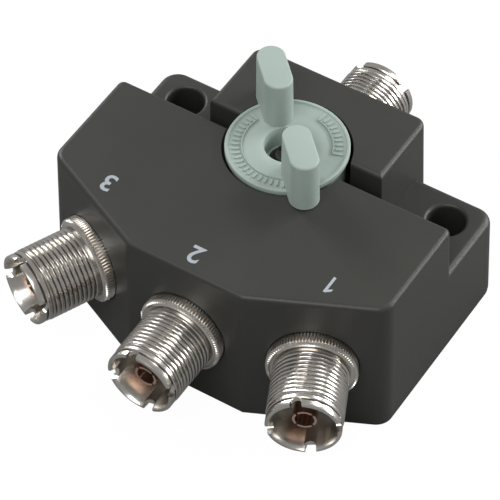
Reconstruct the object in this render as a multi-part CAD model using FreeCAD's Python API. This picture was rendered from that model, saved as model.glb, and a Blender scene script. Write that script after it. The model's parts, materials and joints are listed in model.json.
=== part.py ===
import FreeCAD
import Part
import math
import os

# Three-way coaxial antenna switch: one common connector at the back, three selectable
# connectors at the front, and a two-winged knob that turns a rotary contact inside.
# Lengths are in millimetres. The origin is on the knob's axis, on the flat mounting face.
# +Z is up, -Y faces the three selectable connectors, +X is the side of connector 1.

Vector = FreeCAD.Vector
X_AXIS = Vector(1, 0, 0)
Y_AXIS = Vector(0, 1, 0)
Z_AXIS = Vector(0, 0, 1)
FAR = 200.0

# Housing, outside
body_half_width = 40.1
wall_draft = 0.8
body_top_z = 36.1
body_back_y = -1.6
end_wall_front_y = -26.97
front_face_half_width = 13.7
port_face_angle = 25.0
ear_top_z = 22.4
ear_back_y = 17.8
block_half_width = 20.85
block_front_y = 3.0
block_back_y = 21.95
corner_radius = 4.0
facet_edge_radius = 3.0
block_corner_radius = 2.5
body_back_radius = 1.5
top_edge_radius = 1.1
ear_edge_radius = 1.6

# Housing, inside
wall = 2.6
well_radius = 13.7
well_wall = 2.1

# Mounting holes in the ears
ear_hole_end_inset = 7.8
ear_hole_back_inset = 7.2
ear_hole_radius = 2.25
ear_counterbore_radius = 4.1
ear_seat_z = 6.0
ear_rim_radius = 0.8
ear_boss_wall = 2.0

# Bottom cover and its countersunk screws
cover_thickness = 1.0
cover_edge_inset = 0.15
cover_screw_end_inset = 4.8
cover_screw_front_inset = 8.5
cover_screw_block_inset = 5.4
cover_boss_radius = 3.0
cover_screw_radius = 1.25
cover_screw_head_radius = 2.1
cover_screw_length = 8.0
cross_recess_width = 0.5
cross_recess_depth = 0.4

# Coaxial connectors, measured outwards from the face they stand on
port_axis_z = 18.1
side_port_x = 26.65
common_face_angle = 180.0
port_seat_clearance = 0.2
thread_radius = 7.9375
flange_radius = 9.5
flange_thickness = 3.0
relief_radius = 7.1
relief_width = 0.6
thread_length = 10.6
front_ring_radius = 7.75
front_ring_length = 3.1
ring_groove_radius = 7.4
ring_groove_width = 0.4
ring_groove_from_front = 1.5
shell_bore_radius = 6.5
shell_rear_bore_radius = 5.4
shell_rear_bore_length = 4.4
spigot_radius = 7.5
spigot_overhang = 0.3
notch_width = 2.4
notch_depth = 2.0
nut_across_flats = 19.0
nut_thickness = 2.5
insulator_front = 8.0
contact_recess = 2.3
contact_radius = 2.5
contact_bore_radius = 2.0
contact_bore_depth = 7.8
contact_slot_width = 0.5
contact_slot_depth = 6.0
contact_stem_radius = 1.6
contact_shoulder = 2.0
tail_radius = 1.0
tail_reach = 8.6
fit_clearance = 0.05

# Knob
knob_disc_radius = 13.05
knob_disc_thickness = 1.2
knob_proud = 0.8
knob_hub_radius = 12.2
knob_wall = 2.0
knob_boss_radius = 6.5
knob_floor_gap = 0.4
knob_bush_gap = 0.2
knob_well_radius = 4.9
knob_well_floor_z = 31.6
knob_floor_thickness = 2.5
band_inner_radius = 9.4
band_outer_radius = 12.0
band_depth = 0.35
wing_width = 6.4
wing_length = 13.0
wing_centre_radius = 11.5
wing_height = 11.5
wing_clearance = 0.3
wing_edge_radius = 0.5
knob_rest_angle = -45.0
detent_step = 45.0

# Knob screw and washer
knob_screw_radius = 1.5
knob_screw_hole_radius = 1.7
knob_screw_head_radius = 2.8
knob_screw_head_height = 2.2
knob_screw_length = 9.0
knob_washer_radius = 4.0
knob_washer_thickness = 0.6

# Shaft, bearing bush and clip
shaft_radius = 3.0
shaft_flat = 2.4
bush_radius = 4.5
bush_flange_radius = 6.5
bush_flange_thickness = 1.0
bush_bottom_z = 15.3
running_clearance = 0.03
clip_radius = 5.0
clip_thickness = 0.5
clip_groove_radius = 2.4
clip_mouth = 3.6
axial_play = 0.1

# Detent wheel, its leaf spring and the stop pin
wheel_radius = 11.5
wheel_thickness = 2.0
wheel_hub_radius = 5.0
wheel_hub_height = 0.3
notch_floor_radius = 10.5
stop_pin_radius = 1.2
stop_pin_circle = 8.0
stop_pin_angle = 90.0
stop_pin_hole_depth = 1.7
stop_pin_reach = 0.5
stop_slot_clearance = 0.1
stop_play_angle = 0.6
spring_thickness = 0.4
spring_width = 3.8
spring_half_length = 9.8
spring_nose_half_width = 0.6
spring_nose_run = 2.2
spring_nose_gap = 0.15
spring_screw_radius = 1.0
spring_screw_length = 5.0
spring_screw_head_radius = 1.9
spring_screw_head_height = 1.2

# Rotor with its contact blade
rotor_bottom_z = 7.0
rotor_radius = 9.0
rotor_thickness = 3.5
rotor_hub_radius = 5.5
rotor_hub_height = 1.7
rotor_pilot_radius = 2.6
rotor_pilot_length = 3.2
rotor_socket_floor = 1.3
blade_thickness = 0.55
blade_width = 4.0
blade_ring_radius = 5.4
blade_rivet_radius = 0.6
blade_rivet_head_radius = 1.0
blade_rivet_head_height = 0.3
blade_rivet_circle = 7.6
blade_rivet_spacing = 2.2
contact_gap = 0.05

# Fixed contact plate, pillars, straps and rivets
stator_thickness = 2.0
stator_half_width = 17.0
stator_front_y = -20.5
stator_back_y = 11.5
stator_corner = 3.0
pillar_radius = 2.6
pillar_front = (7.3, -16.2)
pillar_back = (13.2, 7.5)
stator_screw_radius = 1.25
stator_screw_tip_gap = 0.8
stator_screw_head_radius = 2.2
stator_screw_head_height = 1.6
strap_thickness = 0.8
strap_width = 4.4
strap_tab_front = 7.2
strap_tab_top_margin = 1.45
pad_circle = 12.5
pad_radius = 2.6
collector_inner_radius = 3.4
collector_outer_radius = 5.8
strap_rivet_radius = 0.9
strap_rivet_head_radius = 1.5
strap_rivet_head_height = 0.4
port_rivet_circle = 17.6
common_rivet_y = 10.3

# Heights that follow from the sizes above
ear_ceiling_z = ear_top_z - wall
ear_hole_x = body_half_width - ear_hole_end_inset
ear_hole_y = ear_back_y - ear_hole_back_inset
body_ceiling_z = body_top_z - wall
well_outer_radius = well_radius + well_wall
knob_top_z = body_top_z + knob_proud
wing_bottom_z = body_top_z + wing_clearance
wing_top_z = knob_top_z + wing_height
knob_bottom_z = ear_top_z + knob_floor_gap
shaft_top_z = knob_well_floor_z - knob_floor_thickness
wheel_top_z = bush_bottom_z - axial_play - wheel_hub_height
wheel_bottom_z = wheel_top_z - wheel_thickness
clip_top_z = wheel_bottom_z - fit_clearance
clip_bottom_z = clip_top_z - clip_thickness
shaft_bottom_z = rotor_bottom_z + rotor_socket_floor + axial_play
blade_bottom_z = rotor_bottom_z - blade_thickness
strap_top_z = blade_bottom_z - contact_gap
strap_bottom_z = strap_top_z - strap_thickness
stator_top_z = strap_bottom_z
stator_bottom_z = stator_top_z - stator_thickness
spring_mid_z = (wheel_top_z + wheel_bottom_z) / 2
stator_screw_tip_z = spring_mid_z - spring_screw_radius - stator_screw_tip_gap
spigot_rear = -(wall + nut_thickness + spigot_overhang)
thread_start = flange_thickness + relief_width
shell_length = thread_start + thread_length + front_ring_length
contact_front = shell_length - contact_recess
front_y = end_wall_front_y - (body_half_width - front_face_half_width) * math.tan(
    math.radians(port_face_angle))
side_port_y = front_y + (side_port_x - front_face_half_width) * math.tan(math.radians(port_face_angle))

# Each connector: name, the turn of its axis about Z away from -Y, and its face centre.
ports = [
    ("port_1", port_face_angle, Vector(side_port_x, side_port_y, port_axis_z)),
    ("port_2", 0.0, Vector(0, front_y, port_axis_z)),
    ("port_3", -port_face_angle, Vector(-side_port_x, side_port_y, port_axis_z)),
    ("common", common_face_angle, Vector(0, block_back_y, port_axis_z)),
]
pad_angles = {
    "port_1": knob_rest_angle,
    "port_2": knob_rest_angle - detent_step,
    "port_3": knob_rest_angle - 2 * detent_step,
}


def polar(radius, angle, z=0.0):
    turn = math.radians(angle)
    return Vector(radius * math.cos(turn), radius * math.sin(turn), z)


def cylinder(radius, z0, z1, x=0.0, y=0.0):
    return Part.makeCylinder(radius, z1 - z0, Vector(x, y, z0))


def ring(outer, inner, z0, z1):
    return cylinder(outer, z0, z1).cut(cylinder(inner, z0, z1))


def box(x0, x1, y0, y1, z0, z1):
    return Part.makeBox(x1 - x0, y1 - y0, z1 - z0, Vector(x0, y0, z0))


def prism(points, z0, z1):
    corners = [Vector(x, y, z0) for x, y in points]
    outline = Part.makePolygon(corners + corners[:1])
    return Part.Face(outline).extrude(Vector(0, 0, z1 - z0))


def bar(start, end, width, z0, z1):
    """A flat bar with round ends, from one point of the plan to another."""
    along = Vector(end.x - start.x, end.y - start.y, 0)
    angle = math.degrees(math.atan2(along.y, along.x))
    middle = box(0, along.Length, -width / 2, width / 2, z0, z1)
    middle.rotate(Vector(0, 0, 0), Z_AXIS, angle)
    middle.translate(Vector(start.x, start.y, 0))
    ends = [cylinder(width / 2, z0, z1, point.x, point.y) for point in (start, end)]
    return middle.fuse(ends).removeSplitter()


def d_section(radius, flat, z0, z1):
    """A round rod with one flat, whose side lies towards +X."""
    return cylinder(radius, z0, z1).common(box(-FAR, flat, -FAR, FAR, z0, z1))


def turned(shape, angle):
    copy = shape.copy()
    copy.rotate(Vector(0, 0, 0), Z_AXIS, angle)
    return copy


def both_sides(place):
    x, y = place
    return [(x, y), (-x, y)]


def plan(inset, half_width, back_y):
    """The faceted outline of the body, with its front faces moved inwards by the inset."""
    slope = math.tan(math.radians(port_face_angle))
    facet_x = front_face_half_width - inset * math.tan(math.radians(port_face_angle / 2))
    facet_y = front_y + inset
    end_y = facet_y + (half_width - facet_x) * slope
    right = [(facet_x, facet_y), (half_width, end_y), (half_width, back_y)]
    left = [(-x, y) for x, y in reversed(right)]
    return right + left


def lean(z):
    """How far the outer walls stand out at a height, past their place at the top edge."""
    return wall_draft * (body_top_z - z) / body_top_z


def inside_wall(angle, distance, z0, z1):
    """All that lies behind one outer wall, which faces an angle and leans out downwards."""
    foot = distance + lean(z0) - lean(z1)
    section = [Vector(-FAR, -FAR, z0), Vector(foot, -FAR, z0), Vector(distance, -FAR, z1),
               Vector(-FAR, -FAR, z1)]
    slab = Part.Face(Part.makePolygon(section + section[:1])).extrude(Vector(0, 2 * FAR, 0))
    return turned(slab, angle)


def faceted_block(inset, back_y, z0, z1):
    """A block with the body's leaning walls, moved inwards by the inset except at the back."""
    out = lean(z1) - inset
    turn = math.radians(port_face_angle)
    facet = front_face_half_width * math.sin(turn) - front_y * math.cos(turn)
    solid = inside_wall(90, back_y, z0, z1)
    for angle, distance in ((0, body_half_width), (180, body_half_width), (-90, -front_y),
                            (port_face_angle - 90, facet), (-port_face_angle - 90, facet)):
        solid = solid.common(inside_wall(angle, distance + out, z0, z1))
    return solid


def cavity_block(back_y, z0, z1):
    """The hollow behind the front walls, whose inner faces are upright."""
    return prism(plan(wall, body_half_width - wall, back_y), z0, z1)


def upright_edges(shape, test):
    """Edges that climb from one level to another and whose middle passes the test."""
    found = []
    for edge in shape.Edges:
        rise = abs(edge.Vertexes[0].Z - edge.Vertexes[-1].Z)
        middle = edge.CenterOfMass
        if rise > wall and test(middle):
            found.append(edge)
    return found


def level_edges(shape, z):
    box_of = [(edge, edge.BoundBox) for edge in shape.Edges]
    return [edge for edge, b in box_of if abs(b.ZMin - z) < 1e-4 and abs(b.ZMax - z) < 1e-4]


def rounded_body(back_y, back_radius, z0, z1, rim_radius):
    """A faceted block with rounded upright corners, and a rounded rim at its top."""
    solid = faceted_block(0.0, back_y, z0, z1)
    facets = upright_edges(solid, lambda p: p.y < (front_y + end_wall_front_y) / 2)
    solid = solid.makeFillet(facet_edge_radius, facets)
    ends = upright_edges(solid, lambda p: is_end_corner(p) and p.y < back_y - wall)
    solid = solid.makeFillet(corner_radius, ends)
    backs = upright_edges(solid, lambda p: is_end_corner(p) and p.y > back_y - wall)
    solid = solid.makeFillet(back_radius, backs)
    return solid.makeFillet(rim_radius, level_edges(solid, z1))


def is_end_corner(point):
    return abs(point.x) > body_half_width - corner_radius


def rounded_block(z0, z1, edge_radius):
    solid = box(-FAR, FAR, block_front_y, FAR, z0, z1)
    for angle, distance in ((0, block_half_width), (90, block_back_y), (180, block_half_width)):
        solid = solid.common(inside_wall(angle, distance, z0, z1))
    back = upright_edges(solid, lambda p: p.y > block_back_y - block_corner_radius)
    solid = solid.makeFillet(block_corner_radius, back)
    return solid.makeFillet(edge_radius, level_edges(solid, z1))


def port_frame(angle, centre):
    """A frame on a connector's face, with its +Z pointing outwards and its +Y up."""
    turn = FreeCAD.Rotation(Z_AXIS, angle).multiply(FreeCAD.Rotation(X_AXIS, 90))
    return FreeCAD.Placement(centre, turn)


def in_port_frame(shape, angle, centre):
    moved = shape.copy()
    moved.Placement = port_frame(angle, centre).multiply(shape.Placement)
    return moved


def cross_recess(radius, z_face, direction):
    """A cross slot cut into a screw head, into the face at z_face."""
    z0 = min(z_face, z_face + direction * cross_recess_depth)
    z1 = max(z_face, z_face + direction * cross_recess_depth)
    reach = radius * 0.7
    half = cross_recess_width / 2
    return box(-reach, reach, -half, half, z0, z1).fuse(box(-half, half, -reach, reach, z0, z1))


def housing():
    """The die-cast box: body, rear block and ears in one casting, open at the bottom."""
    z0 = cover_thickness
    body = rounded_body(body_back_y, body_back_radius, z0, body_top_z, top_edge_radius)
    ears = rounded_body(ear_back_y, corner_radius, z0, ear_top_z, ear_edge_radius)
    behind = box(-FAR, FAR, body_back_y - corner_radius, FAR, z0, ear_top_z)
    shell = body.fuse([ears.common(behind), rounded_block(z0, body_top_z, top_edge_radius)])
    shell = shell.cut(housing_cavity())
    shell = shell.cut(cylinder(well_radius, ear_top_z, FAR))
    shell = shell.cut(cylinder(bush_radius, ear_ceiling_z, ear_top_z))
    pin = polar(stop_pin_circle, stop_pin_angle)
    shell = shell.cut(cylinder(stop_pin_radius, ear_ceiling_z, ear_ceiling_z + stop_pin_hole_depth,
                               pin.x, pin.y))
    for x, y in both_sides((ear_hole_x, ear_hole_y)):
        hole = cylinder(ear_hole_radius, z0, ear_top_z, x, y)
        shell = shell.cut([cylinder(ear_counterbore_radius, ear_seat_z, ear_top_z, x, y), hole])
    rims = [edge for edge in level_edges(shell, ear_top_z) if is_ear_rim(edge)]
    shell = shell.makeFillet(ear_rim_radius, rims)
    for name, angle, centre in ports:
        opening = cylinder(spigot_radius, -2 * wall, 0)
        seat = cylinder(flange_radius + port_seat_clearance, 0, flange_thickness)
        shell = shell.cut([in_port_frame(opening, angle, centre), in_port_frame(seat, angle, centre)])
    for x, y in cover_screw_places():
        depth = cover_screw_length
        shell = shell.cut(cylinder(cover_screw_radius, z0, z0 + depth, x, y))
    for x, y in pillar_places():
        shell = shell.cut(cylinder(stator_screw_radius, stator_top_z, stator_screw_tip_z, x, y))
    for tap in spring_screw_shanks():
        shell = shell.cut(tap)
    return shell


def is_ear_rim(edge):
    centre = edge.CenterOfMass
    across = math.hypot(abs(centre.x) - ear_hole_x, centre.y - ear_hole_y)
    return across < ear_hole_radius and edge.Length > math.pi * ear_counterbore_radius


def housing_cavity():
    """The hollow inside the casting, with its bosses, pillars and spring pads left standing."""
    z0 = cover_thickness
    ears = cavity_block(ear_back_y - wall, z0, ear_ceiling_z)
    front = cavity_block(body_back_y - wall, z0, body_ceiling_z)
    side = block_half_width - wall
    block_low = box(-side, side, 0, block_back_y - wall, z0, ear_ceiling_z)
    block_high = box(-side, side, block_front_y + wall, block_back_y - wall, z0, body_ceiling_z)
    cavity = ears.fuse([front, block_low, block_high])
    kept = [cylinder(well_outer_radius, ear_ceiling_z, body_top_z)]
    boss = ear_counterbore_radius + ear_boss_wall
    kept += [cylinder(boss, z0, ear_ceiling_z, x, y) for x, y in both_sides((ear_hole_x, ear_hole_y))]
    kept += [cylinder(cover_boss_radius, z0, ear_ceiling_z, x, y) for x, y in cover_screw_places()]
    kept += [cylinder(pillar_radius, stator_top_z, body_ceiling_z, x, y) for x, y in pillar_places()]
    kept += spring_pads()
    return cavity.cut(kept)


def cover_screw_places():
    front = (body_half_width - cover_screw_end_inset, end_wall_front_y + cover_screw_front_inset)
    back = (block_half_width - cover_screw_block_inset, block_back_y - cover_screw_block_inset)
    return both_sides(front) + both_sides(back)


def pillar_places():
    return both_sides(pillar_front) + both_sides(pillar_back)


def spring_seat_y():
    return pillar_front[1] + pillar_radius


def spring_pads():
    """Flat faces on the front pillars, on which the leaf spring is screwed."""
    pads = []
    for x, y in both_sides(pillar_front):
        z0 = spring_mid_z - spring_width
        pads.append(box(x - pillar_radius, x + pillar_radius, y, spring_seat_y(), z0, ear_ceiling_z))
    return pads


def spring_screw_shanks():
    """The threaded part of each leaf-spring screw, which also makes its tapped hole."""
    shanks = []
    for x, y in both_sides(pillar_front):
        start = Vector(x, spring_seat_y() + spring_thickness, spring_mid_z)
        shanks.append(Part.makeCylinder(spring_screw_radius, spring_screw_length, start, -Y_AXIS))
    return shanks


def bottom_cover():
    """A flat plate under the whole casting, flush with its outline."""
    lower = 0.0
    inset = cover_edge_inset
    back_y = ear_back_y + lean(cover_thickness) - lean(ear_top_z) - inset
    plate = faceted_block(inset, back_y, lower, cover_thickness)
    corners = upright_corner_edges(plate)
    plate = plate.makeFillet(corner_radius - inset, corners)
    out = lean(cover_thickness) - inset
    side = block_half_width + out
    back = box(-side, side, block_front_y, block_back_y + out, lower, cover_thickness)
    back = back.makeFillet(block_corner_radius - inset,
                           [e for e in back.Edges if is_upright(e) and e.CenterOfMass.y > ear_back_y])
    plate = plate.fuse(back).removeSplitter()
    for x, y in both_sides((ear_hole_x, ear_hole_y)):
        plate = plate.cut(cylinder(ear_hole_radius, lower, cover_thickness, x, y))
    for x, y in cover_screw_places():
        plate = plate.cut(countersunk_body(x, y, fit_clearance))
    return plate


def is_upright(edge):
    return abs(edge.Vertexes[0].Z - edge.Vertexes[-1].Z) > cover_thickness / 2


def upright_corner_edges(plate):
    return [e for e in plate.Edges
            if is_upright(e) and abs(e.CenterOfMass.x) > body_half_width - corner_radius]


def countersunk_body(x, y, clearance):
    """Head cone and shank of a cover screw, as wide as its hole when clearance is added."""
    head = cover_screw_head_radius + clearance
    shank = cover_screw_radius + clearance
    cone = Part.makeCone(head, shank, head - shank, Vector(x, y, 0))
    return cone.fuse(cylinder(shank, 0, cover_thickness, x, y))


def cover_screws():
    screws = []
    for x, y in cover_screw_places():
        tip = cover_thickness + cover_screw_length
        screw = countersunk_body(x, y, 0.0).fuse(cylinder(cover_screw_radius, 0, tip, x, y))
        recess = cross_recess(cover_screw_head_radius, 0.0, 1.0)
        recess.translate(Vector(x, y, 0))
        screws.append(screw.cut(recess).removeSplitter())
    return Part.makeCompound(screws)


def port_shell():
    """A threaded barrel with a knurled flange, and a spigot that passes through the wall."""
    shell = cylinder(flange_radius, 0, flange_thickness)
    shell = shell.fuse([
        cylinder(relief_radius, 0, thread_start),
        cylinder(thread_radius, thread_start, thread_start + thread_length),
        cylinder(front_ring_radius, thread_start, shell_length),
        cylinder(spigot_radius, spigot_rear, 0),
    ])
    step_z = spigot_rear + shell_rear_bore_length
    groove_z = shell_length - ring_groove_from_front
    shell = shell.cut([
        ring(flange_radius, ring_groove_radius, groove_z - ring_groove_width, groove_z),
        cylinder(shell_bore_radius, step_z, shell_length),
        cylinder(shell_rear_bore_radius, spigot_rear, step_z),
    ])
    half = notch_width / 2
    floor_z = shell_length - notch_depth + half
    slot = box(-half, half, -FAR, FAR, floor_z, shell_length)
    slot = slot.fuse(Part.makeCylinder(half, 2 * FAR, Vector(0, -FAR, floor_z), Y_AXIS))
    return shell.cut([slot, turned(slot, 90)]).removeSplitter()


def port_insulator():
    """The stepped sleeve that holds the contact in the middle of the shell."""
    step_z = spigot_rear + shell_rear_bore_length
    sleeve = cylinder(shell_bore_radius - fit_clearance, step_z + fit_clearance, insulator_front)
    sleeve = sleeve.fuse(cylinder(shell_rear_bore_radius - fit_clearance, spigot_rear, insulator_front))
    sleeve = sleeve.cut([
        cylinder(contact_radius + fit_clearance, contact_shoulder, insulator_front),
        cylinder(contact_stem_radius + fit_clearance, spigot_rear, contact_shoulder),
    ])
    return sleeve.removeSplitter()


def port_contact():
    """The centre socket with four spring fingers, and its solder tail inside the box."""
    contact = cylinder(contact_radius, contact_shoulder + fit_clearance, contact_front)
    contact = contact.fuse([
        cylinder(contact_stem_radius, spigot_rear, contact_shoulder + fit_clearance),
        cylinder(tail_radius, -tail_reach, spigot_rear),
    ])
    contact = contact.cut(cylinder(contact_bore_radius, contact_front - contact_bore_depth,
                                   contact_front))
    half = contact_slot_width / 2
    slot = box(-half, half, -FAR, FAR, contact_front - contact_slot_depth, contact_front)
    return contact.cut([turned(slot, 45), turned(slot, -45)]).removeSplitter()


def port_nut():
    """The hexagon nut that clamps a connector from inside the box."""
    corner = nut_across_flats / 2 / math.cos(math.radians(30))
    points = [(polar(corner, 60 * i).x, polar(corner, 60 * i).y) for i in range(6)]
    rear = -(wall + nut_thickness)
    return prism(points, rear, -wall).cut(cylinder(spigot_radius, rear, -wall))


def strap(angle, centre, end, rivet):
    """A solder tab on a connector's tail and a flat run along the contact plate."""
    rear = -(strap_tab_front + strap_thickness)
    half = strap_width / 2
    drop = strap_bottom_z - port_axis_z
    tab = box(-half, half, drop, strap_tab_top_margin, rear, -strap_tab_front)
    tab = in_port_frame(tab, angle, centre)
    eye = in_port_frame(cylinder(tail_radius + fit_clearance, rear, -strap_tab_front), angle, centre)
    run = bar(strap_foot(angle, centre), end, strap_width, strap_bottom_z, strap_top_z)
    in_front = in_port_frame(box(-FAR, FAR, -FAR, FAR, -strap_tab_front, FAR), angle, centre)
    run = run.cut(in_front)
    hole = cylinder(strap_rivet_radius, strap_bottom_z, strap_top_z, rivet.x, rivet.y)
    return tab.fuse(run).cut([eye, hole])


def strap_foot(angle, centre):
    rear = -(strap_tab_front + strap_thickness / 2)
    return port_frame(angle, centre).multVec(Vector(0, 0, rear))


def port_rivet_place(name, angle, centre):
    """The rivet sits on the strap's line, just outside the sweep of the blade."""
    start = polar(pad_circle, pad_angles[name])
    foot = strap_foot(angle, centre)
    along = Vector(foot.x - start.x, foot.y - start.y, 0)
    along.normalize()
    return start + along * (port_rivet_circle - pad_circle)


def common_rivet_place():
    return Vector(0, common_rivet_y, 0)


def rivet_places():
    places = []
    for name, angle, centre in ports:
        if name in pad_angles:
            places.append(port_rivet_place(name, angle, centre))
    return places + [common_rivet_place()]


def selectable_strap(name, angle, centre):
    pad = polar(pad_circle, pad_angles[name])
    shape = strap(angle, centre, pad, port_rivet_place(name, angle, centre))
    disc = cylinder(pad_radius, strap_bottom_z, strap_top_z, pad.x, pad.y)
    return shape.fuse(disc).removeSplitter()


def common_strap(angle, centre):
    """The common connector's strap ends in a collector ring around the rotor's pilot."""
    middle = (collector_inner_radius + collector_outer_radius) / 2
    shape = strap(angle, centre, Vector(0, middle, 0), common_rivet_place())
    shape = shape.fuse(cylinder(collector_outer_radius, strap_bottom_z, strap_top_z))
    return shape.cut(cylinder(collector_inner_radius, strap_bottom_z, strap_top_z)).removeSplitter()


def stator_plate():
    """The insulating plate that carries the fixed contacts under the rotor."""
    w = stator_half_width
    c = stator_corner
    right = [(w - c, stator_front_y), (w, stator_front_y + c), (w, stator_back_y - c),
             (w - c, stator_back_y)]
    points = right + [(-x, y) for x, y in reversed(right)]
    plate = prism(points, stator_bottom_z, stator_top_z)
    plate = plate.cut(cylinder(rotor_pilot_radius + fit_clearance, stator_bottom_z, stator_top_z))
    for x, y in pillar_places():
        plate = plate.cut(cylinder(stator_screw_radius + fit_clearance, stator_bottom_z,
                                   stator_top_z, x, y))
    for place in rivet_places():
        plate = plate.cut(cylinder(strap_rivet_radius, stator_bottom_z, stator_top_z,
                                   place.x, place.y))
    return plate


def stator_screws():
    screws = []
    for x, y in pillar_places():
        head_z = stator_bottom_z - stator_screw_head_height
        screw = cylinder(stator_screw_head_radius, head_z, stator_bottom_z)
        screw = screw.fuse(cylinder(stator_screw_radius, stator_bottom_z, stator_screw_tip_z))
        screw = screw.cut(cross_recess(stator_screw_head_radius, head_z, 1.0)).removeSplitter()
        screw.translate(Vector(x, y, 0))
        screws.append(screw)
    return Part.makeCompound(screws)


def strap_rivets():
    rivets = []
    for place in rivet_places():
        low = stator_bottom_z - strap_rivet_head_height
        high = strap_top_z + strap_rivet_head_height
        rivet = cylinder(strap_rivet_radius, low, high)
        rivet = rivet.fuse([
            cylinder(strap_rivet_head_radius, low, stator_bottom_z),
            cylinder(strap_rivet_head_radius, strap_top_z, high),
        ])
        rivet = rivet.removeSplitter()
        rivet.translate(place)
        rivets.append(rivet)
    return Part.makeCompound(rivets)


def shaft_bush():
    """The brass bearing, pressed into the deck from below up to its flange."""
    bush = cylinder(bush_radius, bush_bottom_z, ear_top_z)
    flange_z = ear_ceiling_z - bush_flange_thickness
    bush = bush.fuse(cylinder(bush_flange_radius, flange_z, ear_ceiling_z))
    return bush.cut(cylinder(shaft_radius + running_clearance, bush_bottom_z, ear_top_z))


def stop_pin():
    """A dowel in the deck that stands in the wheel's curved slot and limits the turn."""
    low = wheel_bottom_z - stop_pin_reach
    high = ear_ceiling_z + stop_pin_hole_depth
    place = polar(stop_pin_circle, stop_pin_angle)
    return cylinder(stop_pin_radius, low, high, place.x, place.y)


def detent_spring():
    """A leaf with a folded nose that drops into the wheel's notches."""
    outer_y = spring_seat_y() + spring_thickness
    tip_y = -(notch_floor_radius + spring_nose_gap)
    n = spring_nose_half_width
    r = spring_nose_run
    t = spring_thickness
    wheel_side = [(-spring_half_length, outer_y), (-n - r, outer_y), (-n, tip_y)]
    pillar_side = [(-spring_half_length, outer_y - t), (-n - r + t, outer_y - t), (-n + t, tip_y - t)]
    upper = wheel_side + [(-x, y) for x, y in reversed(wheel_side)]
    lower = pillar_side + [(-x, y) for x, y in reversed(pillar_side)]
    z0 = spring_mid_z - spring_width / 2
    leaf = prism(upper + list(reversed(lower)), z0, z0 + spring_width)
    return leaf.cut(spring_screw_shanks())


def detent_spring_screws():
    screws = []
    for shank in spring_screw_shanks():
        x = shank.CenterOfMass.x
        seat = Vector(x, spring_seat_y() + spring_thickness, spring_mid_z)
        head = Part.makeCylinder(spring_screw_head_radius, spring_screw_head_height, seat, Y_AXIS)
        recess = cross_recess(spring_screw_head_radius, spring_screw_head_height, -1.0)
        recess.rotate(Vector(0, 0, 0), X_AXIS, -90)
        recess.translate(seat)
        screws.append(shank.fuse(head).cut(recess).removeSplitter())
    return Part.makeCompound(screws)


def wing():
    """One upright knob wing with round ends, standing at the rest angle."""
    half = (wing_length - wing_width) / 2
    start = Vector(wing_centre_radius - half, 0, 0)
    end = Vector(wing_centre_radius + half, 0, 0)
    shape = bar(start, end, wing_width, wing_bottom_z, wing_top_z)
    shape = shape.makeFillet(wing_edge_radius, level_edges(shape, wing_top_z))
    return turned(shape, knob_rest_angle)


def knob():
    """A moulded disc with two wings on top, a skirt and a keyed boss below."""
    disc_bottom_z = knob_top_z - knob_disc_thickness
    body = cylinder(knob_disc_radius, disc_bottom_z, knob_top_z)
    body = body.fuse([cylinder(knob_hub_radius, knob_bottom_z, knob_top_z), wing(), turned(wing(), 180)])
    hollow = cylinder(knob_hub_radius - knob_wall, knob_bottom_z, knob_top_z - 2 * knob_wall)
    hollow = hollow.cut(cylinder(knob_boss_radius, knob_bottom_z, knob_top_z))
    band = ring(band_outer_radius, band_inner_radius, knob_top_z - band_depth, knob_top_z)
    band = band.cut([wing(), turned(wing(), 180)])
    socket = d_section(shaft_radius + fit_clearance, shaft_flat + fit_clearance, knob_bottom_z,
                       shaft_top_z + axial_play)
    return body.cut([
        hollow,
        band,
        turned(socket, knob_rest_angle),
        cylinder(knob_screw_hole_radius, knob_bottom_z, knob_well_floor_z),
        cylinder(knob_well_radius, knob_well_floor_z, FAR),
    ]).removeSplitter()


def knob_washer():
    top_z = knob_well_floor_z + knob_washer_thickness
    return ring(knob_washer_radius, knob_screw_hole_radius, knob_well_floor_z, top_z)


def knob_screw():
    seat_z = knob_well_floor_z + knob_washer_thickness
    head_z = seat_z + knob_screw_head_height
    screw = cylinder(knob_screw_head_radius, seat_z, head_z)
    screw = screw.makeFillet(knob_screw_head_height / 3, level_edges(screw, head_z))
    screw = screw.fuse(cylinder(knob_screw_radius, seat_z - knob_screw_length, seat_z))
    return screw.cut(cross_recess(knob_screw_head_radius, head_z, -1.0)).removeSplitter()


def shaft():
    """A steel spindle, keyed at both ends and tapped at the top for the knob screw."""
    body = cylinder(shaft_radius, bush_bottom_z, ear_top_z + knob_bush_gap)
    body = body.fuse([
        d_section(shaft_radius, shaft_flat, shaft_bottom_z, bush_bottom_z),
        d_section(shaft_radius, shaft_flat, ear_top_z + knob_bush_gap, shaft_top_z),
    ])
    tap_z = knob_well_floor_z + knob_washer_thickness - knob_screw_length
    groove = ring(shaft_radius + 1, clip_groove_radius, clip_bottom_z, clip_top_z)
    body = body.cut([cylinder(knob_screw_radius, tap_z, shaft_top_z), groove])
    return turned(body.removeSplitter(), knob_rest_angle)


def shaft_clip():
    """An open spring ring in the shaft's groove, which carries the wheel."""
    clip = ring(clip_radius, clip_groove_radius, clip_bottom_z, clip_top_z)
    mouth = box(0, FAR, -clip_mouth / 2, clip_mouth / 2, clip_bottom_z, clip_top_z)
    return turned(clip.cut(mouth), knob_rest_angle + 180)


def detent_wheel():
    """A notched wheel keyed to the shaft, with a curved slot for the stop pin."""
    wheel = cylinder(wheel_radius, wheel_bottom_z, wheel_top_z)
    wheel = wheel.fuse(cylinder(wheel_hub_radius, wheel_top_z, wheel_top_z + wheel_hub_height))
    key = d_section(shaft_radius + fit_clearance, shaft_flat + fit_clearance, wheel_bottom_z,
                    bush_bottom_z)
    wheel = wheel.cut([turned(key, knob_rest_angle), stop_slot()])
    for step in range(len(pad_angles)):
        wheel = wheel.cut(turned(wheel_notch(), step * detent_step))
    return wheel.removeSplitter()


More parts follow.
